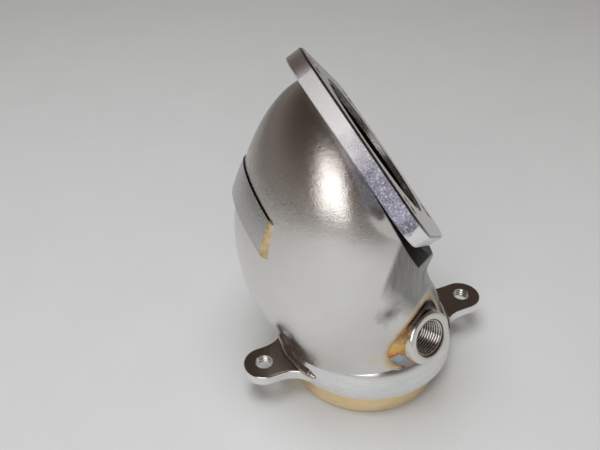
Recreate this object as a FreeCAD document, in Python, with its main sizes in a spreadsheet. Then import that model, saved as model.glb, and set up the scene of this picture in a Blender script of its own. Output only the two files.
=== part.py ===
import FreeCAD, Part
import math
import os
import Sketcher
from FreeCAD import Placement, Rotation, Vector

# A fabricated stainless outlet pipe for a turbocharger, in millimetres.
# Frame: the origin is the centre of the spigot's lower rim, +Z points up the spigot's axis,
# and the bend lies in the XZ plane, with the turbine flange's face looking towards +X and up.

doc = FreeCAD.newDocument("turbo_outlet_pipe")
sheet = doc.addObject("Spreadsheet::Sheet", "Sizes")

# Driving sizes
SIZES = [
    # turbine flange: a square plate standing on its corner
    ("flange_tilt", 35.0),
    ("flange_across", -1.5),
    ("flange_height", 131.0),
    ("flange_side", 92.5),
    ("flange_slip", 3.0),
    ("flange_corner_radius", 14.3),
    ("flange_thickness", 8.0),
    ("flange_edge_break", 0.9),
    ("flange_bolt_circle", 96.0),
    ("flange_tapping_hole", 8.75),
    ("port_radius", 35.0),
    ("port_clearance", 0.3),
    ("port_insert", 5.5),
    ("port_weld_depth", 1.8),
    # elbow
    ("elbow_wall", 2.0),
    ("seam_width", 3.0),
    ("end_drop", 9.42),
    # two-ear outlet flange
    ("ear_plate_thickness", 5.2),
    ("ear_plate_radius", "spigot_radius + 5.2"),
    ("ear_plate_height", 15.5),
    ("ear_hole_spacing", 119.0),
    ("ear_shift", 1.8),
    ("ear_end_radius", 10.4),
    ("ear_root_radius", 15.0),
    ("ear_tapping_hole", 8.75),
    ("ear_edge_round", 1.2),
    ("ear_clocking", 13.8),
    # spigot
    ("spigot_radius", 39.0),
    ("spigot_wall", 3.0),
    ("spigot_shoulder", 1.0),
    ("spigot_fit", 0.3),
    ("spigot_edge_round", 0.8),
    # weld round the elbow's foot
    ("foot_weld_height", 10.5),
    ("foot_weld_top_radius", "spigot_radius + 1.4"),
    ("foot_weld_below", 1.3),
    # fillet welds over the ear roots
    ("ear_weld_radius", 3.1),
    ("ear_weld_circle", "ear_plate_radius + 0.4"),
    ("ear_weld_sweep", 50.0),
    # sensor bung
    ("bung_across", 18.6),
    ("bung_side", "-spigot_radius - 1.7"),
    ("bung_height", 48.7),
    ("bung_turn", -61.7),
    ("bung_rise", 17.2),
    ("bung_outer_radius", 13.0),
    ("bung_length", 14.0),
    ("bung_bore", 16.5),
    ("bung_edge_break", 0.7),
    ("bung_fit", 0.1),
    ("bung_weld_width", 2.6),
    ("weld_bead_height", 2.1),
    # plate on the back of the bend
    ("patch_thickness", 2.2),
    ("patch_behind_flange", 56.5),
    ("patch_band", 12.0),
    ("patch_half_span", 25.5),
    ("patch_weld_width", 2.0),
]

# Elbow sections from the foot to the mouth: centre across, centre height, tilt of the
# section's normal above the horizontal, half-depth in the bend plane, half-width.
# The first stands on the outlet flange, the last lies on the turbine flange's back.
SECTIONS = [
    (0.0, "ear_plate_height + ear_plate_thickness", 90.0, "spigot_radius + 4.2", "spigot_radius + 1.2"),
    (-5.4, "0.268 * flange_height", 85.2, "spigot_radius + 5.5", "spigot_radius + 2.1"),
    (-10.2, "0.352 * flange_height", 83.7, "spigot_radius + 8.2", "spigot_radius + 3.7"),
    (-15.4, "0.4733 * flange_height", 73.8, "spigot_radius + 11.6", "spigot_radius + 7.5"),
    (-17.8, "0.6069 * flange_height", 65.8, "spigot_radius + 12.1", "spigot_radius + 10"),
    (-15.9, "0.758 * flange_height", 52.9, "spigot_radius + 11.8", "spigot_radius + 11.1"),
    ("flange_across - flange_thickness * cos(flange_tilt) + end_drop * sin(flange_tilt)",
     "flange_height - flange_thickness * sin(flange_tilt) - end_drop * cos(flange_tilt)",
     "flange_tilt", "flange_side / 2 + 5.95", "flange_side / 2 - 4.75"),
]
for number, row in enumerate(SECTIONS):
    for word, value in zip(("across", "height", "tilt", "deep", "wide"), row):
        SIZES.append(("section_%d_%s" % (number, word), value))
LAST = len(SECTIONS) - 1

for line, (alias, value) in enumerate(SIZES, start=1):
    sheet.set("A%d" % line, alias)
    sheet.set("B%d" % line, "=" + str(value))
    sheet.setAlias("B%d" % line, alias)
doc.recompute()


def size(alias):
    return float(getattr(sheet, alias))


def origin_plane(body, role):
    return [item for item in body.Origin.OriginFeatures if item.Role == role][0]


def new_body(label):
    body = doc.addObject("PartDesign::Body", label)
    body.Label = label
    return body


def new_sketch(body, name, role="XY_Plane"):
    sketch = body.newObject("Sketcher::SketchObject", name)
    sketch.AttachmentSupport = (origin_plane(body, role), [""])
    sketch.MapMode = "FlatFace"
    return sketch


def drive(obj, prop, expression):
    obj.setExpression(prop, expression)


def raise_sketch(sketch, height):
    drive(sketch, "AttachmentOffset.Base.z", height)


def tilt_sketch(sketch, across, height, tilt):
    sketch.AttachmentOffset = Placement(Vector(0, 0, 0), Rotation(Vector(0, 1, 0), 10))
    drive(sketch, "AttachmentOffset.Base.x", across)
    drive(sketch, "AttachmentOffset.Base.z", height)
    drive(sketch, "AttachmentOffset.Rotation.Angle", "90 - " + tilt)


def add_circle(sketch, radius, guess, across=None, across_guess=0.0):
    index = sketch.addGeometry(Part.Circle(Vector(across_guess, 0, 0), Vector(0, 0, 1), guess), False)
    if across is None:
        sketch.addConstraint(Sketcher.Constraint("Coincident", index, 3, -1, 1))
    else:
        sketch.addConstraint(Sketcher.Constraint("PointOnObject", index, 3, -1))
        spot = sketch.addConstraint(Sketcher.Constraint("DistanceX", -1, 1, index, 3, across_guess))
        drive(sketch, "Constraints[%d]" % spot, across)
    row = sketch.addConstraint(Sketcher.Constraint("Radius", index, guess))
    drive(sketch, "Constraints[%d]" % row, radius)
    return index


def add_ellipse(sketch, half_long, half_short, long_guess, short_guess):
    shape = Part.Ellipse(Vector(long_guess, 0, 0), Vector(0, short_guess, 0), Vector(0, 0, 0))
    index = sketch.addGeometry(shape, False)
    sketch.exposeInternalGeometry(index)
    sketch.addConstraint(Sketcher.Constraint("Coincident", index, 3, -1, 1))
    sketch.addConstraint(Sketcher.Constraint("Horizontal", index + 1))
    for line, half, guess in ((index + 1, half_long, long_guess), (index + 2, half_short, short_guess)):
        row = sketch.addConstraint(Sketcher.Constraint("Distance", line, 2 * guess))
        drive(sketch, "Constraints[%d]" % row, "2 * (" + half + ")")
    return index


def pad(body, sketch, length, backwards=False):
    feature = body.newObject("PartDesign::Pad", sketch.Name + "_pad")
    feature.Profile = sketch
    feature.Length = 1
    drive(feature, "Length", length)
    feature.Reversed = backwards
    return feature


def pocket(body, sketch, length, backwards=False):
    feature = body.newObject("PartDesign::Pocket", sketch.Name + "_pocket")
    feature.Profile = sketch
    feature.Length = 1
    drive(feature, "Length", length)
    feature.Reversed = backwards
    return feature


def edge_names(shape, wanted):
    return ["Edge%d" % (i + 1) for i, edge in enumerate(shape.Edges) if wanted(edge)]


def soften(body, kind, name, radius, wanted):
    doc.recompute()
    base = body.Tip
    names = edge_names(base.Shape, wanted)
    feature = body.newObject("PartDesign::" + kind, name)
    feature.Base = (base, names)
    drive(feature, "Radius" if kind == "Fillet" else "Size", radius)
    return feature


def boolean(kind, label, base, tool):
    feature = doc.addObject("Part::" + kind, label)
    feature.Base = base
    feature.Tool = tool
    feature.Label = label
    return feature


def common(label, first, second):
    return boolean("Common", label, first, second)


def cut(label, first, second):
    return boolean("Cut", label, first, second)


def box(label, length, width, height, placement):
    feature = doc.addObject("Part::Box", label)
    drive(feature, "Length", length)
    drive(feature, "Width", width)
    drive(feature, "Height", height)
    drive(feature, "Placement", placement)
    return feature


FACE = ("Sizes.flange_across", "Sizes.flange_height", "Sizes.flange_tilt")


# Elbow form: one smooth skin through the sections, used whole, hollow or grown outwards
def section_sketch(body, number, grow):
    sketch = new_sketch(body, "%s_section_%d%s" % (body.Name, number, "" if grow else "_bare"))
    word = "Sizes.section_%d_" % number
    tilt_sketch(sketch, word + "across", word + "height", word + "tilt")
    deep, wide = size("section_%d_deep" % number), size("section_%d_wide" % number)
    add_ellipse(sketch, word + "deep" + grow, word + "wide" + grow, deep, wide)
    return sketch


def loft(body, kind, grow):
    sketches = [section_sketch(body, number, grow) for number in range(LAST + 1)]
    feature = body.newObject("PartDesign::" + kind, body.Name + "_" + kind.lower())
    feature.Profile = sketches[0]
    feature.Sections = sketches[1:]


def port_sketch(body, name, outer, inner, ahead):
    # on a plane parallel to the flange, centred on its axis, ahead of the flange's back face
    sketch = new_sketch(body, name)
    back = "(" + ahead + " - Sizes.flange_thickness)"
    tilt_sketch(sketch, "Sizes.flange_across + " + back + " * cos(Sizes.flange_tilt)",
                "Sizes.flange_height + " + back + " * sin(Sizes.flange_tilt)", "Sizes.flange_tilt")
    add_circle(sketch, outer, 35.0)
    add_circle(sketch, inner, 33.0)
    return sketch


elbow_form = new_body("elbow_form")
loft(elbow_form, "AdditiveLoft", "")
loft(elbow_form, "SubtractiveLoft", " - Sizes.elbow_wall")
# the turned-in end: a flat web behind the flange, and the short neck that enters its port
web = new_sketch(elbow_form, "end_web")
END = "Sizes.section_%d_" % LAST
tilt_sketch(web, END + "across", END + "height", END + "tilt")
add_ellipse(web, END + "deep - Sizes.elbow_wall / 3", END + "wide - Sizes.elbow_wall / 3",
            size("section_%d_deep" % LAST), size("section_%d_wide" % LAST))
pad(elbow_form, web, "Sizes.elbow_wall", backwards=True)
neck = port_sketch(elbow_form, "port_neck", "Sizes.port_radius", "Sizes.port_radius - Sizes.elbow_wall",
                   "-Sizes.elbow_wall / 2")
pad(elbow_form, neck, "Sizes.port_insert + Sizes.elbow_wall / 2")
neck_bore = new_sketch(elbow_form, "neck_bore")
tilt_sketch(neck_bore, *FACE)
add_circle(neck_bore, "Sizes.port_radius - Sizes.elbow_wall", 33.0)
pocket(elbow_form, neck_bore, "Sizes.flange_thickness + Sizes.elbow_wall + 2")

elbow_solid = new_body("elbow_solid")
loft(elbow_solid, "AdditiveLoft", "")

bead_form = new_body("bead_form")
loft(bead_form, "AdditiveLoft", " + Sizes.weld_bead_height")

patch_form = new_body("patch_form")
loft(patch_form, "AdditiveLoft", " + Sizes.patch_thickness")

# Sensor bung: a turned boss, made at the origin with its face at zero, then placed
BUNG_PLACE = ("placement(vector(Sizes.bung_across; Sizes.bung_side; Sizes.bung_height); "
              "rotation(Sizes.bung_turn; 90 - Sizes.bung_rise; 0))")
sensor_bung = new_body("sensor_bung")
boss = new_sketch(sensor_bung, "boss")
add_circle(boss, "Sizes.bung_outer_radius", 13.2)
pad(sensor_bung, boss, "Sizes.bung_length", backwards=True)
bore = new_sketch(sensor_bung, "bore")
add_circle(bore, "Sizes.bung_bore / 2", 8.25)
pocket(sensor_bung, bore, "Sizes.bung_length + 1")
soften(sensor_bung, "Chamfer", "rim_breaks", "Sizes.bung_edge_break",
       lambda edge: abs(edge.BoundBox.ZMax) < 0.01 and abs(edge.BoundBox.ZMin) < 0.01)
drive(sensor_bung, "Placement", BUNG_PLACE)


def bung_cylinder(label, radius):
    feature = doc.addObject("Part::Cylinder", label)
    drive(feature, "Radius", radius)
    drive(feature, "Height", "Sizes.bung_length + 4")
    drive(feature, "Placement", BUNG_PLACE + " * placement(vector(0; 0; -Sizes.bung_length - 2); "
          "rotation(0; 0; 0))")
    return feature


bung_hole = bung_cylinder("bung_hole", "Sizes.bung_outer_radius + Sizes.bung_fit")
bung_weld_blank = bung_cylinder("bung_weld_blank", "Sizes.bung_outer_radius + Sizes.bung_weld_width")
bung_weld_skin = common("bung_weld_skin", bung_weld_blank, bead_form)
bung_weld_ring = cut("bung_weld_ring", bung_weld_skin, elbow_solid)
sensor_bung_weld = cut("sensor_bung_weld", bung_weld_ring, bung_hole)

# Elbow halves and the two ground seams between them
near_side = box("near_side", "400", "200", "400",
                "placement(vector(-200; -200 - Sizes.seam_width / 2; -100); rotation(0; 0; 0))")
far_side = box("far_side", "400", "200", "400",
               "placement(vector(-200; Sizes.seam_width / 2; -100); rotation(0; 0; 0))")
outer_side = box("outer_side", "195", "Sizes.seam_width", "400",
                 "placement(vector(-200; -Sizes.seam_width / 2; -100); rotation(0; 0; 0))")
inner_side = box("inner_side", "205", "Sizes.seam_width", "400",
                 "placement(vector(-5; -Sizes.seam_width / 2; -100); rotation(0; 0; 0))")
near_blank = common("near_blank", elbow_form, near_side)
elbow_half_near = cut("elbow_half_near", near_blank, bung_hole)
elbow_half_far = common("elbow_half_far", elbow_form, far_side)
seam_weld_outer = common("seam_weld_outer", elbow_form, outer_side)
seam_weld_inner = common("seam_weld_inner", elbow_form, inner_side)

# Turbine flange: square plate on its corner, with rounded corners, port and four bolt holes
turbine_flange = new_body("turbine_flange")
plate = new_sketch(turbine_flange, "plate")
# its middle lies a little down the slope from the port's
tilt_sketch(plate, "Sizes.flange_across + Sizes.flange_slip * sin(Sizes.flange_tilt)",
            "Sizes.flange_height - Sizes.flange_slip * cos(Sizes.flange_tilt)", "Sizes.flange_tilt")
reach = size("flange_side") / math.sqrt(2)
corners = [Vector(reach, 0, 0), Vector(0, reach, 0), Vector(-reach, 0, 0), Vector(0, -reach, 0)]
for i in range(4):
    plate.addGeometry(Part.LineSegment(corners[i], corners[(i + 1) % 4]), False)
for i in range(4):
    plate.addConstraint(Sketcher.Constraint("Coincident", i, 2, (i + 1) % 4, 1))
    plate.addConstraint(Sketcher.Constraint("PointOnObject", i, 1, -1 if i % 2 == 0 else -2))
for i, (kind, sign) in enumerate((("DistanceX", 1), ("DistanceY", 1), ("DistanceX", -1), ("DistanceY", -1))):
    ends = (-1, 1, i, 1) if sign > 0 else (i, 1, -1, 1)
    row = plate.addConstraint(Sketcher.Constraint(kind, *ends, reach))
    drive(plate, "Constraints[%d]" % row, "Sizes.flange_side / sqrt(2)")
pad(turbine_flange, plate, "Sizes.flange_thickness", backwards=True)

face_normal = Vector(math.cos(math.radians(size("flange_tilt"))), 0, math.sin(math.radians(size("flange_tilt"))))
face_centre = Vector(size("flange_across"), 0, size("flange_height"))


def depth(point):
    return (point - face_centre).dot(face_normal)


def along_normal(edge):
    ends = edge.Vertexes
    return len(ends) == 2 and abs(depth(ends[0].Point) - depth(ends[1].Point)) > 1


def in_face(edge):
    return all(abs(depth(v.Point)) < 0.01 for v in edge.Vertexes)


def in_back(edge):
    return all(abs(depth(v.Point) + size("flange_thickness")) < 0.01 for v in edge.Vertexes)


soften(turbine_flange, "Fillet", "plate_corners", "Sizes.flange_corner_radius", along_normal)
soften(turbine_flange, "Chamfer", "face_edge_break", "Sizes.flange_edge_break", in_face)
soften(turbine_flange, "Chamfer", "back_edge_break", "Sizes.flange_edge_break / 2", in_back)
port = new_sketch(turbine_flange, "port")
tilt_sketch(port, *FACE)
add_circle(port, "Sizes.port_radius + Sizes.port_clearance", 35.3)
pocket(turbine_flange, port, "Sizes.flange_thickness + 2")
bolt_hole = new_sketch(turbine_flange, "bolt_hole")
tilt_sketch(bolt_hole, *FACE)
add_circle(bolt_hole, "Sizes.flange_tapping_hole / 2", size("flange_tapping_hole") / 2,
           "Sizes.flange_bolt_circle / 2", size("flange_bolt_circle") / 2)
first_hole = pocket(turbine_flange, bolt_hole, "Sizes.flange_thickness + 1")
doc.recompute()
pattern = turbine_flange.newObject("PartDesign::PolarPattern", "bolt_holes")
pattern.Originals = [first_hole]
pattern.Axis = (bolt_hole, ["N_Axis"])
pattern.Angle = 360
pattern.Occurrences = 4
turbine_flange.Tip = pattern

port_weld = new_body("port_weld")
ring = port_sketch(port_weld, "weld_ring", "Sizes.port_radius + Sizes.port_clearance",
                   "Sizes.port_radius - Sizes.elbow_wall + 0.3", "Sizes.port_insert")
pad(port_weld, ring, "Sizes.port_weld_depth")

# Two-ear outlet flange, made at the origin, then raised and clocked
outlet_flange = new_body("outlet_flange")
disc = new_sketch(outlet_flange, "disc")
add_circle(disc, "Sizes.ear_plate_radius", 44.2)
pad(outlet_flange, disc, "Sizes.ear_plate_thickness")
ears = new_sketch(outlet_flange, "ears")
half, tip = size("ear_hole_spacing") / 2, size("ear_end_radius")
ears.addGeometry(Part.LineSegment(Vector(-half, tip, 0), Vector(half, tip, 0)), False)
ears.addGeometry(Part.ArcOfCircle(Part.Circle(Vector(half, 0, 0), Vector(0, 0, 1), tip),
                                  -math.pi / 2, math.pi / 2), False)
ears.addGeometry(Part.LineSegment(Vector(half, -tip, 0), Vector(-half, -tip, 0)), False)
ears.addGeometry(Part.ArcOfCircle(Part.Circle(Vector(-half, 0, 0), Vector(0, 0, 1), tip),
                                  math.pi / 2, 3 * math.pi / 2), False)
ears.addConstraint(Sketcher.Constraint("Tangent", 0, 2, 1, 2))
ears.addConstraint(Sketcher.Constraint("Tangent", 1, 1, 2, 1))
ears.addConstraint(Sketcher.Constraint("Tangent", 2, 2, 3, 2))
ears.addConstraint(Sketcher.Constraint("Tangent", 3, 1, 0, 1))
ears.addConstraint(Sketcher.Constraint("Horizontal", 0))
ears.addConstraint(Sketcher.Constraint("PointOnObject", 1, 3, -1))
for start, end, sign in (((-1, 1), (1, 3), " + "), ((3, 3), (-1, 1), " - ")):
    row = ears.addConstraint(Sketcher.Constraint("DistanceX", start[0], start[1], end[0], end[1], half))
    drive(ears, "Constraints[%d]" % row, "Sizes.ear_hole_spacing / 2" + sign + "Sizes.ear_shift")
row = ears.addConstraint(Sketcher.Constraint("Radius", 1, tip))
drive(ears, "Constraints[%d]" % row, "Sizes.ear_end_radius")
pad(outlet_flange, ears, "Sizes.ear_plate_thickness")


def root_corner(edge):
    ends = edge.Vertexes
    if len(ends) != 2 or abs(ends[0].Point.z - ends[1].Point.z) < 1:
        return False
    point = ends[0].Point
    on_disc = abs(math.hypot(point.x, point.y) - size("ear_plate_radius")) < 0.05
    return on_disc and abs(abs(point.y) - size("ear_end_radius")) < 0.05


soften(outlet_flange, "Fillet", "ear_roots", "Sizes.ear_root_radius", root_corner)


def ear_top(edge):
    box_of = edge.BoundBox
    return box_of.ZMin > size("ear_plate_thickness") - 0.01


soften(outlet_flange, "Fillet", "ear_edges", "Sizes.ear_edge_round", ear_top)
opening = new_sketch(outlet_flange, "opening")
add_circle(opening, "Sizes.spigot_radius - Sizes.spigot_shoulder + Sizes.spigot_fit", 38.3)
pocket(outlet_flange, opening, "Sizes.ear_plate_thickness + 1", backwards=True)
tapped = new_sketch(outlet_flange, "tapped")
add_circle(tapped, "Sizes.ear_tapping_hole / 2", size("ear_tapping_hole") / 2,
           "Sizes.ear_hole_spacing / 2 + Sizes.ear_shift", half)
left_tap = tapped.addGeometry(Part.Circle(Vector(-half, 0, 0), Vector(0, 0, 1), 4), False)
tapped.addConstraint(Sketcher.Constraint("PointOnObject", left_tap, 3, -1))
row = tapped.addConstraint(Sketcher.Constraint("DistanceX", left_tap, 3, -1, 1, half))
drive(tapped, "Constraints[%d]" % row, "Sizes.ear_hole_spacing / 2 - Sizes.ear_shift")
row = tapped.addConstraint(Sketcher.Constraint("Radius", left_tap, 4))
drive(tapped, "Constraints[%d]" % row, "Sizes.ear_tapping_hole / 2")
pocket(outlet_flange, tapped, "Sizes.ear_plate_thickness + 1", backwards=True)
drive(outlet_flange, "Placement", "placement(vector(0; 0; Sizes.ear_plate_height); "
      "rotation(Sizes.ear_clocking; 0; 0))")

# Spigot
spigot = new_body("spigot")
tube = new_sketch(spigot, "tube")
add_circle(tube, "Sizes.spigot_radius", 39.0)
add_circle(tube, "Sizes.spigot_radius - Sizes.spigot_wall", 36.0)
pad(spigot, tube, "Sizes.ear_plate_height")
# the end inside the plate is turned down, so its shoulder seats under the plate
seat = new_sketch(spigot, "seat")
raise_sketch(seat, "Sizes.ear_plate_height")
add_circle(seat, "Sizes.spigot_radius - Sizes.spigot_shoulder", 38.0)
add_circle(seat, "Sizes.spigot_radius - Sizes.spigot_wall", 36.0)
pad(spigot, seat, "Sizes.ear_plate_thickness")
soften(spigot, "Fillet", "lead_in", "Sizes.spigot_edge_round",
       lambda edge: edge.BoundBox.ZMax < 0.01 and edge.BoundBox.XLength > 2 * size("spigot_radius") - 1)

# Weld that blends the elbow's foot into the two-ear flange
foot_cone = doc.addObject("Part::Cone", "foot_cone")
drive(foot_cone, "Radius1", "Sizes.ear_plate_radius")
drive(foot_cone, "Radius2", "Sizes.foot_weld_top_radius")
drive(foot_cone, "Height", "Sizes.foot_weld_height + Sizes.foot_weld_below")
drive(foot_cone, "Placement", "placement(vector(0; 0; Sizes.ear_plate_height + Sizes.ear_plate_thickness - "
      "Sizes.foot_weld_below); rotation(0; 0; 0))")
foot_core = doc.addObject("Part::Cylinder", "foot_core")
drive(foot_core, "Radius", "Sizes.spigot_radius + Sizes.spigot_fit + 0.1")
drive(foot_core, "Height", "Sizes.ear_plate_height + Sizes.ear_plate_thickness + 1")
foot_outside = cut("foot_outside", foot_cone, elbow_solid)
foot_ring = cut("foot_ring", foot_outside, foot_core)
outlet_weld = cut("outlet_weld", foot_ring, outlet_flange)


# Fillet welds over the ear roots
def ear_weld(label, turn):
    ring_part = doc.addObject("Part::Torus", label + "_ring")
    drive(ring_part, "Radius1", "Sizes.ear_weld_circle")
    drive(ring_part, "Radius2", "Sizes.ear_weld_radius")
    ring_part.Angle1 = -180
    ring_part.Angle2 = 180
    drive(ring_part, "Angle3", "Sizes.ear_weld_sweep")
    drive(ring_part, "Placement", "placement(vector(0; 0; Sizes.ear_plate_height + "
          "Sizes.ear_plate_thickness); rotation(Sizes.ear_clocking + %d - "
          "Sizes.ear_weld_sweep / 2; 0; 0))" % turn)
    clear = cut(label + "_clear", ring_part, elbow_solid)
    above = cut(label + "_above", clear, foot_cone)
    return cut(label, above, ear_slab)


ear_slab = box("ear_slab", "200", "200", "20",
               "placement(vector(-100; -100; Sizes.ear_plate_height + Sizes.ear_plate_thickness - 20); "
               "rotation(0; 0; 0))")
ear_weld_right = ear_weld("ear_weld_right", 0)
ear_weld_left = ear_weld("ear_weld_left", 180)

# Plate on the back of the bend, its edges parallel to the turbine flange, and its end welds
PATCH_TURN = "rotation(0; -Sizes.flange_tilt; 0)"


def patch_zone(label, start, width, band):
    # in the zone's own axes X runs along the flange's normal and Z up the flange's slope
    spot = ("placement(vector(Sizes.flange_across; 0; Sizes.flange_height); " + PATCH_TURN + ") * "
            "placement(vector(-Sizes.patch_behind_flange - (" + band + ") / 2; " + start + "; 0); "
            "rotation(0; 0; 0))")
    return box(label, band, width, "120", spot)


patch_skin = cut("patch_skin", patch_form, elbow_solid)
patch_area = patch_zone("patch_area", "-Sizes.patch_half_span", "2 * Sizes.patch_half_span", "Sizes.patch_band")
back_plate = common("back_plate", patch_skin, patch_area)

weld_skin = cut("weld_skin", bead_form, elbow_solid)
near_zone = patch_zone("near_zone", "-Sizes.patch_half_span - Sizes.patch_weld_width",
                       "Sizes.patch_weld_width", "Sizes.patch_band - 1")
far_zone = patch_zone("far_zone", "Sizes.patch_half_span", "Sizes.patch_weld_width", "Sizes.patch_band - 1")
back_plate_weld_near = common("back_plate_weld_near", weld_skin, near_zone)
back_plate_weld_far = common("back_plate_weld_far", weld_skin, far_zone)

doc.recompute()

# Every sub-part, checked before anything is written
PIECES = [turbine_flange, port_weld, elbow_half_near, elbow_half_far, seam_weld_outer, seam_weld_inner,
          outlet_flange, outlet_weld, ear_weld_left, ear_weld_right, spigot, sensor_bung,
          sensor_bung_weld, back_plate, back_plate_weld_near, back_plate_weld_far]

for item in doc.Objects:
    if "Invalid" in item.State or "Error" in item.State:
        raise RuntimeError("failed object: " + item.Name + " " + str(item.State))
for piece in PIECES:
    shape = piece.Shape
    if shape.isNull() or not shape.isValid():
        raise RuntimeError("bad shape: " + piece.Label)
    print("%-22s solids %d  volume %9.1f  box %s" % (
        piece.Label, len(shape.Solids), shape.Volume,
        " ".join("%.1f" % value for value in (shape.BoundBox.XMin, shape.BoundBox.XMax, shape.BoundBox.YMin,
                                               shape.BoundBox.YMax, shape.BoundBox.ZMin, shape.BoundBox.ZMax))))

os.makedirs("parts", exist_ok=True)
for piece in PIECES:
    piece.Shape.exportStep("parts/" + piece.Label + ".step")
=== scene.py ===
import bpy
import math
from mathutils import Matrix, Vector, noise
from mathutils.bvhtree import BVHTree


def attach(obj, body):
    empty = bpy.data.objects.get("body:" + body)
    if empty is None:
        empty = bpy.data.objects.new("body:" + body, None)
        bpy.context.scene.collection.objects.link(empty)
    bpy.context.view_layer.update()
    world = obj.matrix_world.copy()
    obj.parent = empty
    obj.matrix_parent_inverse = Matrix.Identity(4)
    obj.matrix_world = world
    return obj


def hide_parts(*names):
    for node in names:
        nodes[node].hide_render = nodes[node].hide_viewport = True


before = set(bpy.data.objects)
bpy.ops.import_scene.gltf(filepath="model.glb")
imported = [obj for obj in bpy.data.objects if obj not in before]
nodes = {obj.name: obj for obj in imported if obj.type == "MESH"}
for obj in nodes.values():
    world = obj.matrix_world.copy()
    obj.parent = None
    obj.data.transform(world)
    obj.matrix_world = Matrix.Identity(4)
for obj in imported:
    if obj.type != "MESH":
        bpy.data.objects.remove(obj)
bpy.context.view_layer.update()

# Places, directions and sizes of the solids, in metres
UP = Vector((0, 0, 1))
ACROSS = Vector((0, 1, 0))
TILT = math.radians(35.0)
FACE_CENTRE = Vector((-0.0015, 0, 0.131))
FACE_NORMAL = Vector((math.cos(TILT), 0, math.sin(TILT)))
FACE_SLOPE = Vector((-math.sin(TILT), 0, math.cos(TILT)))
BOLT_CIRCLE_RADIUS = 0.048

# Threads: pitch of all, bore and ridge of the M10 ones, length of those in the flange
THREAD_PITCH, TAPPING_RADIUS, THREAD_RIDGE, FLANGE_THREAD = 0.0015, 0.004375, 0.00045, 0.0074
THREAD_SET_BACK = 0.0003

# Boss for the oxygen sensor
BUNG_FACE = Vector((0.0186, -0.0407, 0.0487))
BUNG_TURN, BUNG_RISE = math.radians(-61.7), math.radians(17.2)
BUNG_AXIS = Vector((math.cos(BUNG_RISE) * math.cos(BUNG_TURN),
                    math.cos(BUNG_RISE) * math.sin(BUNG_TURN),
                    math.sin(BUNG_RISE)))
BUNG_RADIUS, BUNG_LENGTH, BORE_RADIUS, BORE_CHAMFER, BUNG_RIDGE = 0.0130, 0.014, 0.00825, 0.0009, 0.00075

# Two-ear plate, and the foot of the elbow as a cone above it: height, radius and taper
PLATE_TOP, PLATE_THICK, PLATE_EDGE = 0.0207, 0.0052, 0.0440
FOOT_HEIGHT, FOOT_RADIUS, FOOT_TAPER = 0.0194, 0.0442, 0.32
EAR_TURN = math.radians(13.8)
EAR_REACH = {"right": 0.0613, "left": -0.0577}

# Plate on the back: distances behind the flange's face, half length, and width of its end welds
WRAP_FRONT, WRAP_REAR, WRAP_HALF, END_WELD = 0.0505, 0.0623, 0.0275, 0.0022
# Its thickness at the front edge, and what it gains towards the rear
WRAP_THIN, WRAP_GAIN = 0.0007, 0.0015

# Weld beads: width and reach up the wall, each as a least size and what is added where it swells
BUNG_BEAD_WIDTH, BUNG_BEAD_REACH = (0.0040, 0.0016), (0.0026, 0.0008)
EAR_BEAD_WIDTH, EAR_BEAD_REACH = (0.0020, 0.0010), (0.0022, 0.0012)

# How far a weld's edge sinks into what carries it
SINK = 0.0003

# Patches on the shell: place, reach, colour and strength; the first is weld smoke, the second darkens the shell
# above the boss, the third is a gold heat tint
SHELL_PATCHES = [((-0.0470, -0.0255, 0.0420), 0.009, (0.10, 0.085, 0.075), 0.85),
         ((-0.0050, -0.0465, 0.0745), 0.008, (0.09, 0.075, 0.07), 0.75),
         ((-0.0080, -0.0430, 0.0400), 0.006, (0.82, 0.68, 0.48), 0.6)]


# ---------------------------------------------------------------- materials
def fill_ramp(elements, stops):
    while len(elements) < len(stops):
        elements.new(0.5)
    for element, (place, colour) in zip(elements, stops):
        element.position = place
        element.color = tuple(colour) + (1.0,)


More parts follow.
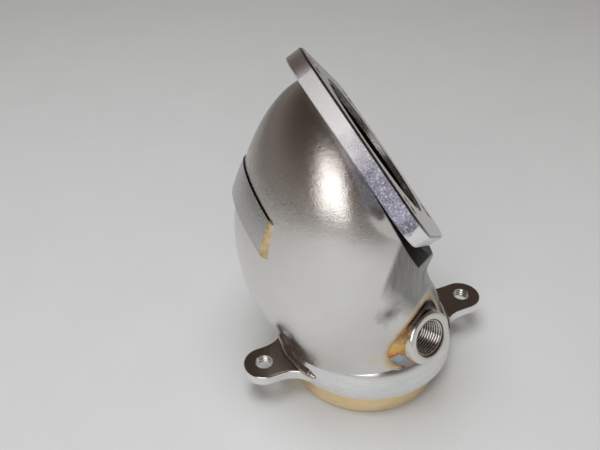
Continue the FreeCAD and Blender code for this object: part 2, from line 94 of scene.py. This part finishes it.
class Graph:
    """A small helper that adds nodes to one material."""

    def __init__(self, name):
        self.mat = bpy.data.materials.new(name)
        self.mat.use_nodes = True
        self.tree = self.mat.node_tree
        self.shader = self.tree.nodes["Principled BSDF"]
        self.coords = self.add("ShaderNodeTexCoord")
        self.place = self.coords.outputs["Object"]

    def add(self, kind, inputs=None, **settings):
        node = self.tree.nodes.new(kind)
        for key, value in settings.items():
            setattr(node, key, value)
        for key, value in (inputs or {}).items():
            self.feed(node, key, value)
        return node

    def feed(self, node, key, value):
        if isinstance(value, bpy.types.NodeSocket):
            self.tree.links.new(value, node.inputs[key])
        else:
            node.inputs[key].default_value = value

    def math(self, operation, a, b=0.0):
        return self.add("ShaderNodeMath", {0: a, 1: b}, operation=operation).outputs[0]

    def plus(self, a, b):
        return self.math("ADD", a, b)

    def minus(self, a, b):
        return self.math("SUBTRACT", a, b)

    def times(self, a, b):
        return self.math("MULTIPLY", a, b)

    def vector(self, operation, a, b=(0, 0, 0), out=0):
        return self.add("ShaderNodeVectorMath", {0: a, 1: b}, operation=operation).outputs[out]

    def split(self, value):
        return self.add("ShaderNodeSeparateXYZ", {0: value}).outputs

    def noise(self, scale, detail=3.0, rough=0.5, stretch=None, turn=(0, 0, 0)):
        place = self.place
        if stretch:
            mapping = {"Vector": place, "Rotation": turn, "Scale": stretch}
            place = self.add("ShaderNodeMapping", mapping).outputs[0]
        values = {"Vector": place, "Scale": scale, "Detail": detail, "Roughness": rough}
        return self.add("ShaderNodeTexNoise", values).outputs["Fac"]

    def wander(self, scale, detail, amount, rough=0.5):
        """Noise that swings either side of nothing."""
        return self.times(self.minus(self.noise(scale, detail, rough), 0.5), amount)

    def span(self, value, low, high, to_low=0.0, to_high=1.0):
        limits = {0: value, 1: low, 2: high, 3: to_low, 4: to_high}
        return self.add("ShaderNodeMapRange", limits).outputs[0]

    def grain(self, value, to_low=0.0, to_high=1.0):
        """The middle of a noise's range, spread from one value to another."""
        return self.span(value, 0.3, 0.7, to_low, to_high)

    def ramp(self, value, stops):
        node = self.add("ShaderNodeValToRGB", {"Fac": value})
        fill_ramp(node.color_ramp.elements, stops)
        return node.outputs["Color"]

    def mix(self, factor, a, b):
        node = self.add("ShaderNodeMix", data_type="RGBA")
        for key, value in ((0, factor), (6, a), (7, b)):
            self.feed(node, key, value + (1.0,) if isinstance(value, tuple) else value)
        return node.outputs[2]

    def colour(self, value):
        self.feed(self.shader, "Base Color", value)

    def roughness(self, value):
        self.feed(self.shader, "Roughness", value)

    def bump(self, height, distance, before=None, strength=1.0):
        node = self.add("ShaderNodeBump", {"Height": height, "Distance": distance, "Strength": strength})
        if before is not None:
            self.feed(node, "Normal", before)
        return node.outputs[0]

    def finish(self, normal=None, metallic=1.0):
        self.shader.inputs["Metallic"].default_value = metallic
        if normal is not None:
            self.feed(self.shader, "Normal", normal)
        return self.mat

    def offset(self, point):
        return self.vector("SUBTRACT", self.place, tuple(point))

    def along(self, point, axis):
        return self.vector("DOT_PRODUCT", self.offset(point), tuple(axis), out=1)

    def distance_to_axis(self, point, axis):
        return self.vector("LENGTH", self.vector("CROSS_PRODUCT", self.offset(point), tuple(axis)), out=1)

    def distance_to(self, point):
        return self.vector("DISTANCE", self.place, tuple(point), out=1)

    def lift_round_bung(self):
        """Height over the bung's centre as a share of the distance from its axis."""
        height = self.split(self.offset(BUNG_FACE))["Z"]
        return self.math("DIVIDE", height, self.distance_to_axis(BUNG_FACE, BUNG_AXIS))


def heat(g, base, distance, start, width):
    """Temper colours that fade out with distance from a weld: blue-black, brown, gold, straw, bare."""
    place = g.span(g.plus(distance, g.wander(260, 3, 0.002)), start, start + width)
    tint = g.ramp(place, [(0.0, (0.10, 0.085, 0.09)), (0.22, (0.20, 0.12, 0.08)), (0.40, (0.52, 0.33, 0.13)),
                          (0.62, (0.72, 0.58, 0.38)), (1.0, (0.80, 0.78, 0.75))])
    return g.mix(g.span(place, 0.55, 1.0, 1.0, 0.0), base, tint)


def shell_steel(name, peel=1.0, near_bung=True):
    """Polished sheet with orange peel: satin on the crown, where painted shade darkens it, and rubbed inside the
    bend, where a painted dark reflection greys it.
    """
    g = Graph(name)
    parts = g.split(g.place)
    beside = g.times(g.math("ABSOLUTE", parts["Y"]), -1.0)
    mirrored = g.add("ShaderNodeCombineXYZ", {0: parts["X"], 1: beside, 2: parts["Z"]}).outputs[0]

    def beyond(normal, offset, soft):
        return g.span(g.minus(g.vector("DOT_PRODUCT", mirrored, normal, out=1), offset), soft, -soft)

    base = g.mix(g.span(g.noise(28, 4, 0.6), 0.35, 0.7), (0.80, 0.79, 0.77), (0.73, 0.715, 0.69))
    base = g.mix(g.span(g.noise(90, 5, 0.65), 0.62, 0.78, 0.0, 0.16), base, (0.45, 0.42, 0.38))
    # painted shade: the crown is darkened, standing in for the dark room it reflects; the same mask also makes
    # it rougher
    crown_shade_and_satin = g.span(g.plus(parts["Z"], g.times(parts["X"], -0.35)), 0.112, 0.168)
    base = g.mix(crown_shade_and_satin, base, (0.52, 0.475, 0.44))

    # flat inside the bend, rubbed with a coarse belt; it is painted dark grey as a painted reflection of the
    # flange's underside above it
    below = g.span(g.plus(parts["Z"], g.times(parts["X"], 1.35)), 0.070, 0.084)
    inner = g.times(beyond((-0.83909, 0.50172, 0.21025), 0.0026553, 0.0009), below)
    scratches = g.noise(700, 4, 0.65, (1.0, 1.0, 0.07), (0.35, 0.2, 0))
    rubbed_and_painted_dark = g.ramp(g.grain(scratches), [(0.0, (0.23, 0.225, 0.22)), (0.6, (0.29, 0.285, 0.28)),
                                                  (1.0, (0.37, 0.365, 0.355))])
    base = g.mix(inner, base, rubbed_and_painted_dark)

    # painted reflection: a near-black patch under the flange's tip stands in for the flange's dark underside
    # mirrored in the shell; it is also made rougher
    sides = [beyond(normal, offset, 0.00025) for normal, offset in (
        ((-0.88431, -0.02786, -0.46607), -0.0484386), ((-0.8392, -0.10362, -0.53386), -0.0519836),
        ((0.59466, -0.65843, -0.46135), -0.0109))]
    painted_tip_reflection = g.times(sides[0], g.times(sides[1], sides[2]))
    painted_tip_reflection = g.times(painted_tip_reflection, g.span(g.along(FACE_CENTRE, -FACE_NORMAL), 0.026, 0.024))
    base = g.mix(painted_tip_reflection, base, (0.010, 0.007, 0.005))

    if near_bung:
        base = heat(g, base, g.distance_to_axis(BUNG_FACE, BUNG_AXIS), BUNG_RADIUS + 0.0012, 0.0090)
        for spot, reach, tone, depth in SHELL_PATCHES:
            away = g.plus(g.distance_to(spot), g.times(g.noise(240, 3), 0.008))
            base = g.mix(g.span(away, 0.004, 0.004 + reach, depth, 0.0), base, tone)
    g.colour(base)

    rough = g.plus(g.grain(g.noise(420, 4, 0.6), 0.19, 0.25), g.times(crown_shade_and_satin, 0.09))
    rough = g.plus(rough, g.times(inner, 0.10))
    g.roughness(g.plus(rough, g.times(painted_tip_reflection, 0.25)))
    normal = g.bump(g.noise(1500, 3, 0.55), 0.00012 * peel, strength=0.55)
    normal = g.bump(g.noise(420, 2, 0.5), 0.00016, normal, 0.40)
    normal = g.bump(g.noise(70, 2, 0.5), 0.0005, normal, 0.25)
    return g.finish(normal)


def brushed_steel(name, stretch, turn, dark, light, rough, depth):
    """Fine parallel lines in one direction."""
    g = Graph(name)
    lines = g.noise(900, 4, 0.6, stretch, turn)
    tone = g.mix(g.grain(lines), dark, light)
    g.roughness(g.grain(lines, *rough))
    return g, lines, tone, g.bump(lines, depth, strength=0.7)


def band_steel():
    """Ground foot with lines round it."""
    g, lines, tone, normal = brushed_steel("band_ground", (0.1, 0.1, 1.0), (0, 0, 0), (0.72, 0.72, 0.72),
                                           (0.864, 0.864, 0.864), (0.20, 0.30), 0.00002)
    g.colour(tone)
    return g.finish(g.bump(g.noise(1500, 2, 0.5), 0.00002, normal, 0.5))


def ears_steel():
    """Ground plate, polished; its top is painted dark as a painted reflection of the dark room, and its edge
    painted bright as a painted reflection of the pale floor.
    """
    g, lines, top, normal = brushed_steel("ears_ground", (1.0, 0.08, 0.08), (0, 0, 0.6), (0.44, 0.41, 0.37),
                                          (0.52, 0.485, 0.44), (0.12, 0.20), 0.00002)
    # painted light: faces turned up take the dark top tone and faces turned sideways the bright edge tone,
    # chosen by the surface normal
    painted_bright_edge = g.mix(g.grain(lines), (0.80, 0.79, 0.77), (0.88, 0.87, 0.85))
    g.colour(g.mix(g.span(g.split(g.coords.outputs["Normal"])["Z"], 0.35, 0.85), painted_bright_edge, top))
    return g.finish(normal)


def plate_steel():
    """Brushed plate with a painted black shadow line along its front edge."""
    g, lines, tone, normal = brushed_steel("patch_brushed", (0.06, 1.0, 1.0), (0, 0.6, 0), (0.52, 0.51, 0.50),
                                           (0.64, 0.63, 0.62), (0.22, 0.34), 0.00005)
    # painted shadow: a near-black line along the plate's front edge stands in for the shade of the gap under it
    painted_shadow_line = g.span(g.along(FACE_CENTRE, -FACE_NORMAL), WRAP_FRONT + 0.0006, WRAP_FRONT + 0.0003)
    g.colour(g.mix(painted_shadow_line, tone, (0.012, 0.010, 0.009)))
    return g.finish(normal)


def flange_steel():
    """Ground edge, near white away from the tip and darker, bluish and bumpier towards it, its near-white and
    dark bluish tones being painted highlight and painted shade; and a lapped face.
    """
    g = Graph("flange_ground")
    depth = g.along(FACE_CENTRE, FACE_NORMAL)
    on_face = g.span(depth, -0.0008, -0.0003)
    grains = g.noise(1300, 3, 0.7)
    down = g.minus(g.along(FACE_CENTRE, -FACE_SLOPE), g.wander(120, 3, 0.02))
    low = g.times(g.span(down, -0.033, -0.017), g.span(down, 0.0015, -0.0005))
    # painted light: a near-white lit tone for the edge, and a dark bluish shaded tone towards the tip
    bright = g.mix(g.span(grains, 0.35, 0.7), (0.88, 0.87, 0.88), (0.97, 0.96, 0.97))
    tip_painted_shade = g.ramp(g.span(grains, 0.32, 0.68), [(0.0, (0.15, 0.15, 0.19)), (0.45, (0.27, 0.27, 0.335)),
                                               (0.75, (0.42, 0.42, 0.50)), (1.0, (0.88, 0.88, 0.95))])
    base = g.mix(on_face, g.mix(low, bright, tip_painted_shade), (0.62, 0.60, 0.57))
    # dark scale left in the bevel of the face
    bevel = g.times(g.span(depth, -0.0012, -0.0007), g.span(depth, -0.0001, -0.0004))
    g.colour(g.mix(g.times(bevel, 0.75), base, (0.10, 0.09, 0.09)))
    g.roughness(g.minus(g.grain(grains, 0.36, 0.46), g.times(on_face, 0.16)))
    off_face = g.minus(1.0, g.times(on_face, 0.85))
    normal = g.bump(grains, 0.00012, strength=g.times(off_face, g.plus(0.25, g.times(low, 0.9))))
    normal = g.bump(g.noise(650, 2, 0.6), 0.0002, normal, g.times(low, 0.4))
    return g.finish(normal)


def straw_steel():
    """Turned tube with a straw heat tint that turns darker and browner towards its top."""
    g = Graph("straw_turned")
    rings = g.noise(1500, 3, 0.6, (0.05, 0.05, 1.0))
    height = g.plus(g.span(g.split(g.place)["Z"], 0.0, 0.016), g.times(g.noise(60, 3), 0.25))
    g.colour(g.ramp(height, [(0.0, (1.0, 0.84, 0.56)), (0.45, (1.0, 0.80, 0.50)), (0.9, (0.92, 0.72, 0.44)),
                             (1.0, (0.70, 0.58, 0.42))]))
    g.roughness(g.grain(rings, 0.20, 0.32))
    return g.finish(g.bump(rings, 0.00005, strength=0.6))


def turned_steel(name, point, axis, base=0.76):
    """Lathe rings round an axis."""
    g = Graph(name)
    radius = g.plus(g.distance_to_axis(point, axis), g.times(g.noise(300, 2), 0.0002))
    rings = g.math("SINE", g.times(radius, 22000.0))
    scratches = g.noise(1200, 3, 0.6)
    g.colour(g.mix(g.span(g.noise(120, 4, 0.6), 0.45, 0.75, 0.0, 0.5), (base, base * 0.97, base * 0.92),
                   (base * 0.82, base * 0.76, base * 0.66)))
    g.roughness(g.grain(scratches, 0.16, 0.28))
    return g.finish(g.bump(scratches, 0.00003, g.bump(rings, 0.000012, strength=0.6), 0.5))


def bead_finish(g, rough):
    fine = g.noise(1400, 3, 0.6)
    g.roughness(g.grain(fine, *rough))
    return g.finish(g.bump(fine, 0.00006, strength=0.6))


def bead_steel(name, colours):
    """Small weld with patches of temper colour."""
    g = Graph(name)
    g.colour(g.ramp(g.span(g.noise(170, 4, 0.55), 0.25, 0.75), colours))
    return bead_finish(g, (0.16, 0.34))


def ring_bead():
    """Weld round the boss: burnt at the top, gold at the side, blue-grey puddle at the bottom."""
    g = Graph("bead_tempered")
    place = g.span(g.plus(g.lift_round_bung(), g.wander(230, 4, 0.9, 0.6)), -1.0, 1.0)
    g.colour(g.ramp(place, [(0.0, (0.42, 0.30, 0.20)), (0.17, (0.30, 0.36, 0.42)), (0.27, (0.44, 0.47, 0.48)),
                            (0.33, (0.45, 0.13, 0.06)), (0.40, (0.75, 0.42, 0.12)), (0.56, (0.74, 0.50, 0.20)),
                            (0.70, (0.42, 0.24, 0.11)), (0.84, (0.12, 0.08, 0.06)), (1.0, (0.05, 0.04, 0.035))]))
    return bead_finish(g, (0.18, 0.36))


def boss_steel():
    """Turned boss: bright face and rim, straw side, near black on top of its side, and painted shade in the
    roots of its thread with painted highlight on its crests.
    """
    g = Graph("boss_turned")
    inward = g.times(g.along(BUNG_FACE, BUNG_AXIS), -1.0)
    wobble = g.wander(220, 3, 0.004)
    base = g.ramp(g.span(g.plus(inward, wobble), 0.0, 0.009),
                  [(0.0, (0.80, 0.77, 0.72)), (0.35, (0.76, 0.70, 0.60)), (0.68, (0.66, 0.53, 0.36)),
                   (0.88, (0.36, 0.23, 0.13)), (1.0, (0.14, 0.11, 0.10))])
    radius = g.distance_to_axis(BUNG_FACE, BUNG_AXIS)
    # the outside of the boss is made near black on its top, just behind the rim
    darkened_top = g.times(g.span(g.plus(g.lift_round_bung(), g.times(wobble, 60.0)), 0.35, 0.85),
                   g.span(inward, 0.0006, 0.0016))
    outside = g.span(radius, BUNG_RADIUS - 0.0008, BUNG_RADIUS - 0.0003)
    base = g.mix(g.times(g.times(darkened_top, outside), 0.93), base, (0.045, 0.038, 0.034))
    # painted light: the thread's crests are painted bright as a highlight and its roots dark as shade
    thread = g.ramp(g.span(radius, BORE_RADIUS + 0.00003, BORE_RADIUS + 0.00063),
                    [(0.0, (0.92, 0.90, 0.86)), (0.35, (0.55, 0.52, 0.48)), (1.0, (0.05, 0.045, 0.04))])
    g.colour(g.mix(g.span(radius, 0.0094, 0.0091), base, thread))
    scratches = g.noise(1300, 3, 0.6)
    g.roughness(g.grain(scratches, 0.16, 0.28))
    rings = g.math("SINE", g.times(radius, 18000.0))
    return g.finish(g.bump(scratches, 0.00004, g.bump(rings, 0.00001, strength=0.6), 0.5))


def paper():
    """Pale sheet with painted shade that darkens it far away from the object."""
    g = Graph("paper_floor")
    sheet = g.mix(g.grain(g.noise(22, 5, 0.6)), (0.672, 0.682, 0.688), (0.652, 0.662, 0.668))
    # painted shade: the sheet darkens with distance from the object, standing in for light falling off
    g.colour(g.mix(g.span(g.vector("LENGTH", g.place, out=1), 0.7, 2.6), sheet, (0.30, 0.29, 0.28)))
    g.roughness(0.7)
    return g.finish(None, 0.0)


SHELL = shell_steel("shell_orange_peel")
SEAM = shell_steel("seam_ground", 0.5, False)
FLANGE = flange_steel()
EARS = ears_steel()
BAND = band_steel()
PATCH = plate_steel()
STRAW = straw_steel()
BOSS = boss_steel()
PORT = turned_steel("port_turned", FACE_CENTRE, FACE_NORMAL)
GOLD_END = bead_steel("end_weld_gold", [(0.0, (0.46, 0.32, 0.16)), (0.5, (0.66, 0.50, 0.28)),
                                        (1.0, (0.80, 0.68, 0.50))])
BEAD = ring_bead()
EAR_BEAD = bead_steel("ear_bead", [(0.0, (0.20, 0.17, 0.145)), (0.45, (0.42, 0.37, 0.32)),
                                   (1.0, (0.66, 0.61, 0.55))])

for node_name, material in (
        ("elbow_half_near", SHELL), ("elbow_half_far", SHELL), ("seam_weld_outer", SEAM),
        ("seam_weld_inner", SEAM), ("turbine_flange", FLANGE), ("port_weld", PORT), ("outlet_flange", EARS),
        ("outlet_weld", BAND), ("spigot", STRAW), ("back_plate", PATCH), ("back_plate_weld_near", GOLD_END),
        ("back_plate_weld_far", GOLD_END), ("sensor_bung", BOSS), ("sensor_bung_weld", BEAD),
        ("ear_weld_left", EAR_BEAD), ("ear_weld_right", EAR_BEAD)):
    slots = nodes[node_name].data.materials
    slots.clear()
    slots.append(material)


# ---------------------------------------------------------------- pieces
def piece(name, verts, faces, material, smooth=True):
    mesh = bpy.data.meshes.new(name)
    mesh.from_pydata([tuple(v) for v in verts], [], faces)
    mesh.validate()
    mesh.polygons.foreach_set("use_smooth", [smooth] * len(mesh.polygons))
    mesh.materials.append(material)
    obj = bpy.data.objects.new(name, mesh)
    bpy.context.scene.collection.objects.link(obj)
    mesh.update()
    return obj


def fix(obj, node=None):
    """Say what the piece replaces by hiding that part, and that it rides on the root."""
    if node:
        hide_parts(node)
    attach(obj, "root")


def ring_faces(rings, size):
    """Quads between neighbouring closed rings of points."""
    return [(ring * size + k, ring * size + (k + 1) % size,
             (ring + 1) * size + (k + 1) % size, (ring + 1) * size + k)
            for ring in range(rings - 1) for k in range(size)]


def bead_faces(steps, across, rows):
    """Quads between neighbouring rows laid across a bead; where rows equals steps, the bead closes."""
    size = across + 1
    return [(step * size + k, (step + 1) % rows * size + k,
             (step + 1) % rows * size + k + 1, step * size + k + 1)
            for step in range(steps) for k in range(across)]


def lathe(name, point, axis, profile, material, around, thread=None):
    """A body of revolution; profile is (radius, along, threaded) and thread is (pitch, depth)."""
    side = axis.orthogonal().normalized()
    other = axis.cross(side).normalized()
    verts = []
    for radius, along, threaded in profile:
        for step in range(around):
            angle = 2 * math.pi * step / around
            r = radius
            if threaded and thread:
                pitch, depth = thread
                flank = abs(2 * ((along / pitch - step / around) % 1.0) - 1)
                r = radius + depth * (1 - flank * 1.25 if flank < 0.8 else 0.0) * threaded
            verts.append(point + axis * along + (side * math.cos(angle) + other * math.sin(angle)) * r)
    return piece(name, verts, ring_faces(len(profile), around), material)


def loft(name, loops, material):
    """Join closed loops of points into a closed body with crisp edges."""
    size = len(loops[0])
    faces = ring_faces(len(loops), size)
    faces.append(tuple(reversed(range(size))))
    faces.append(tuple((len(loops) - 1) * size + k for k in range(size)))
    obj = piece(name, [point for loop in loops for point in loop], faces, material)
    obj.data.set_sharp_from_angle(angle=math.radians(35))
    return obj


def arch(start, middle, end, count):
    """Points on the curve that leaves start towards middle and arrives at end."""
    return [start * (1 - t) ** 2 + middle * 2 * t * (1 - t) + end * t * t for t in
            [k / count for k in range(count + 1)]]


def grow(size, share):
    """A least size with a share of what may be added to it."""
    return size[0] + size[1] * share


def shell_tree():
    verts, faces = [], []
    for name in ("elbow_half_near", "elbow_half_far", "seam_weld_outer", "seam_weld_inner"):
        start = len(verts)
        mesh = nodes[name].data
        verts += [v.co.copy() for v in mesh.vertices]
        faces += [[start + i for i in p.vertices] for p in mesh.polygons]
    return BVHTree.FromPolygons(verts, faces)


tree = shell_tree()

# Boss with a bright chamfered rim and an M18 x 1.5 thread
step_along, lead_in, thread_steps = 0.000125, 8, 100
profile = [(BUNG_RADIUS, -BUNG_LENGTH, 0), (BUNG_RADIUS, -0.0102, 0), (BUNG_RADIUS, -0.0060, 0),
           (BUNG_RADIUS, -0.0009, 0), (BUNG_RADIUS - 0.0001, -0.0006, 0), (BUNG_RADIUS - 0.0007, -0.0001, 0),
           (BUNG_RADIUS - 0.0009, 0.0, 0), (0.0112, 0.0, 0), (0.0097, 0.0, 0), (0.0095, -0.0001, 0),
           (0.0084, -BORE_CHAMFER, 0)]
profile += [(BORE_RADIUS, -BORE_CHAMFER - step_along * i, min(1.0, i / lead_in)) for i in range(thread_steps)]
profile += [(BORE_RADIUS, -BUNG_LENGTH, 0), (0.0112, -BUNG_LENGTH, 0), (BUNG_RADIUS, -BUNG_LENGTH, 0)]
bung = lathe("threaded_bung", BUNG_FACE, BUNG_AXIS, profile, BOSS, 144, (THREAD_PITCH, BUNG_RIDGE))
fix(bung, "sensor_bung")


def thread_liner(name, point, axis, length, material):
    """Thread ridges that stand inwards from a tapping hole's wall."""
    radius = TAPPING_RADIUS - 0.00002
    count = int(length / (THREAD_PITCH / 12))
    rows = [(radius, 0.0, 0)]
    rows += [(radius, -length * i / count, -min(1.0, i / 6.0, (count - i) / 6.0)) for i in range(count + 1)]
    fix(lathe(name, point, axis, rows, material, 72, (THREAD_PITCH, THREAD_RIDGE)))


for label, reach in EAR_REACH.items():
    spot = Vector((reach * math.cos(EAR_TURN), reach * math.sin(EAR_TURN), PLATE_TOP - THREAD_SET_BACK))
    thread_liner("ear_thread_" + label, spot, UP, PLATE_THICK - 2 * THREAD_SET_BACK, EARS)
for number, way in enumerate((FACE_SLOPE, ACROSS, -FACE_SLOPE, -ACROSS)):
    spot = FACE_CENTRE + way * BOLT_CIRCLE_RADIUS - FACE_NORMAL * THREAD_SET_BACK
    thread_liner("flange_thread_%d" % number, spot, FACE_NORMAL, FLANGE_THREAD, PORT)


def boss_bead():
    """Weld bead round the boss, laid in overlapping ripples and widest at the lower left."""
    up = (UP - BUNG_AXIS * BUNG_AXIS.z).normalized()
    right = up.cross(BUNG_AXIS).normalized()
    around, across, ripples = 720, 16, 62.0
    verts = []
    for step in range(around):
        angle = 2 * math.pi * step / around
        out = up * math.cos(angle) + right * math.sin(angle)
        toward = max(0.0, math.cos(angle - math.radians(-100)))
        wander = noise.noise(Vector((math.cos(angle) * 3, math.sin(angle) * 3, 2.0)))
        width = grow(BUNG_BEAD_WIDTH, toward ** 2) * (1 + 0.16 * wander)
        reach = grow(BUNG_BEAD_REACH, toward) * (1 + 0.12 * wander)
        crest = 0.55 + 0.45 * (1 - (step / around * ripples) % 1.0) ** 0.7
        above = BUNG_FACE + BUNG_AXIS * 0.02
        hit = tree.ray_cast(above + out * (BUNG_RADIUS + width), -BUNG_AXIS)[0]
        corner = tree.ray_cast(above + out * (BUNG_RADIUS + 0.0004), -BUNG_AXIS)[0] or hit
        standing = max(0.0, (corner - BUNG_FACE).dot(-BUNG_AXIS))
        wall = corner - out * 0.0006 + BUNG_AXIS * min(reach, 0.42 * standing)
        foot = hit - BUNG_AXIS * 0.0004
        swell = (out + BUNG_AXIS).normalized() * (0.0003 + 0.0008 * crest)
        verts += arch(foot, (foot + wall) / 2 + swell * 2, wall, across)
    bead = piece("bung_bead", verts, bead_faces(around, across, around), BEAD)
    fix(bead, "sensor_bung_weld")


def ear_bead(name, node, centre_turn, seed):
    """Lumpy fillet weld over an ear's root."""
    around, across, sweep = 260, 12, math.radians(56)
    verts = []
    for step in range(around + 1):
        t = step / around
        angle = centre_turn - sweep / 2 + sweep * t
        out = Vector((math.cos(angle), math.sin(angle), 0))
        ends = math.sin(math.pi * t) ** 0.35 + 0.02
        lump = 0.5 + 0.45 * noise.noise(Vector((t * 9, seed, 0.3))) + 0.05 * abs(math.sin(t * 60 + seed))
        width = grow(EAR_BEAD_WIDTH, lump) * ends
        reach = grow(EAR_BEAD_REACH, lump) * ends
        top = UP * (PLATE_TOP + reach)
        hit = tree.ray_cast(top + out * 0.09, -out)[0]
        cone = FOOT_RADIUS - (PLATE_TOP + reach - FOOT_HEIGHT) * FOOT_TAPER
        shell = (hit - UP * hit.z).length if hit else 0.0
        foot = out * (PLATE_EDGE + width) + UP * (PLATE_TOP - SINK)
        wall = out * (max(cone, shell) - SINK) + top
        swell = (out + UP).normalized() * (0.0008 + 0.0012 * lump) * ends * 1.6
        verts += arch(foot, (foot + wall) / 2 + swell, wall, across)
    fix(piece(name, verts, bead_faces(around, across, around + 1), EAR_BEAD), node)


boss_bead()
ear_bead("ear_bead_left", "ear_weld_left", EAR_TURN + math.pi, 1.7)
ear_bead("ear_bead_right", "ear_weld_right", EAR_TURN, 5.1)


# Plate on the back of the bend, thin at its front edge, and the welds at its two ends
def on_back(behind, across):
    """The place on the back of the bend and the shell's outward normal there."""
    start = FACE_CENTRE - FACE_NORMAL * behind + FACE_SLOPE * 0.15 + ACROSS * across
    spot, normal = tree.ray_cast(start, -FACE_SLOPE)[:2]
    return spot, normal if normal.dot(FACE_SLOPE) > 0 else -normal


def proud(behind):
    """How far the plate stands out of the shell."""
    return WRAP_THIN + WRAP_GAIN * (behind - WRAP_FRONT) / (WRAP_REAR - WRAP_FRONT)


def back_plate():
    steps = [WRAP_FRONT + (WRAP_REAR - WRAP_FRONT) * k / 20 for k in range(21)]
    loops = []
    for k in range(49):
        spots = [on_back(behind, WRAP_HALF * (k / 24 - 1)) for behind in steps]
        outer = [spot + normal * proud(behind) for (spot, normal), behind in zip(spots, steps)]
        loops.append(outer + [spot - normal * 0.0004 for spot, normal in reversed(spots)])
    fix(loft("wrapped_plate", loops, PATCH), "back_plate")


def end_weld(name, node, sign):
    loops = []
    for k in range(41):
        behind = WRAP_FRONT - 0.0002 + (WRAP_REAR - WRAP_FRONT + 0.0004) * k / 40
        spot, normal = on_back(behind, sign * (WRAP_HALF - SINK))
        foot, foot_normal = on_back(behind, sign * (WRAP_HALF + END_WELD))
        foot = foot - foot_normal * SINK
        top = spot + normal * (proud(behind) + 0.00015 + 0.00003 * math.sin(k * 0.9))
        out = (normal + ACROSS * sign).normalized() * (0.0006 + 0.00004 * math.sin(k * 0.9))
        loops.append(arch(top, (top + foot) / 2 + out, foot, 6) + [spot - normal * 0.0004])
    fix(loft(name, loops, GOLD_END), node)


back_plate()
end_weld("plate_end_near", "back_plate_weld_near", -1)
end_weld("plate_end_far", "back_plate_weld_far", 1)

# Weld blended by grinding into the foot of the elbow and the edge of the two-ear plate
foot_rows = [(radius, height, 0) for radius, height in (
    (0.0400, 0.0157), (0.04430, 0.0157), (0.04432, 0.0170), (0.0443, 0.0190), (0.0440, 0.0215),
    (0.04365, 0.0233), (0.0432, 0.0250), (0.0426, 0.0272), (0.0419, 0.0292), (0.0411, 0.0303),
    (0.0402, 0.0310), (0.0395, 0.0310), (0.0395, 0.0200), (0.0400, 0.0157))]
foot_blend = lathe("foot_blend", Vector((0, 0, 0)), UP, foot_rows, BAND, 180)
foot_blend.data.set_sharp_from_angle(angle=math.radians(50))
fix(foot_blend, "outlet_weld")

# ---------------------------------------------------------------- stage, light and camera
floor = piece("floor", [(-4, -4, 0), (4, -4, 0), (4, 4, 0), (-4, 4, 0)], [(0, 1, 2, 3)], paper(), False)
floor.location.z = -0.0002


def area(name, direction, distance, size, power, glossy, colour):
    """A rectangular lamp that looks at the middle of the object."""
    data = bpy.data.lights.new(name, "AREA")
    data.shape = "RECTANGLE"
    data.size, data.size_y = size
    data.energy = power
    data.color = colour
    lamp = bpy.data.objects.new(name, data)
    lamp.location = Vector((0, 0, 0.08)) + Vector(direction).normalized() * distance
    lamp.rotation_euler = (-Vector(direction)).to_track_quat("-Z", "Y").to_euler()
    lamp.visible_glossy = glossy
    bpy.context.scene.collection.objects.link(lamp)


area("window", (-0.36, -0.80, 0.47), 1.3, (0.95, 0.90), 5.6, True, (1.0, 0.99, 0.995))
area("ceiling", (-0.20, -0.16, 1.27), 1.30, (0.9, 0.9), 15.0, False, (0.985, 1.0, 1.0))

# A room that is darker and browner overhead than at the horizon
world = bpy.data.worlds.new("room")
world.use_nodes = True
bpy.context.scene.world = world
room = world.node_tree
coord = room.nodes.new("ShaderNodeTexCoord")
direction = room.nodes.new("ShaderNodeSeparateXYZ")
shade = room.nodes.new("ShaderNodeValToRGB")
room.links.new(coord.outputs["Generated"], direction.inputs[0])
room.links.new(direction.outputs["Z"], shade.inputs["Fac"])
room.links.new(shade.outputs["Color"], room.nodes["Background"].inputs["Color"])
room.nodes["Background"].inputs["Strength"].default_value = 1.0
fill_ramp(shade.color_ramp.elements, [(0.0, (0.36, 0.345, 0.33)), (0.12, (0.235, 0.207, 0.183)),
                                      (0.35, (0.140, 0.116, 0.098)), (0.6, (0.086, 0.067, 0.057)),
                                      (1.0, (0.068, 0.051, 0.043))])

camera_data = bpy.data.cameras.new("camera")
camera_data.sensor_width = 36.0
camera_data.lens = 43.2
camera = bpy.data.objects.new("camera", camera_data)
camera.location = (-0.088474, -0.263160, 0.287524)
camera.rotation_euler = (math.radians(54.0), 0.0, math.radians(-11.5))
bpy.context.scene.collection.objects.link(camera)
bpy.context.scene.camera = camera
bpy.context.scene.view_settings.view_transform = "Standard"
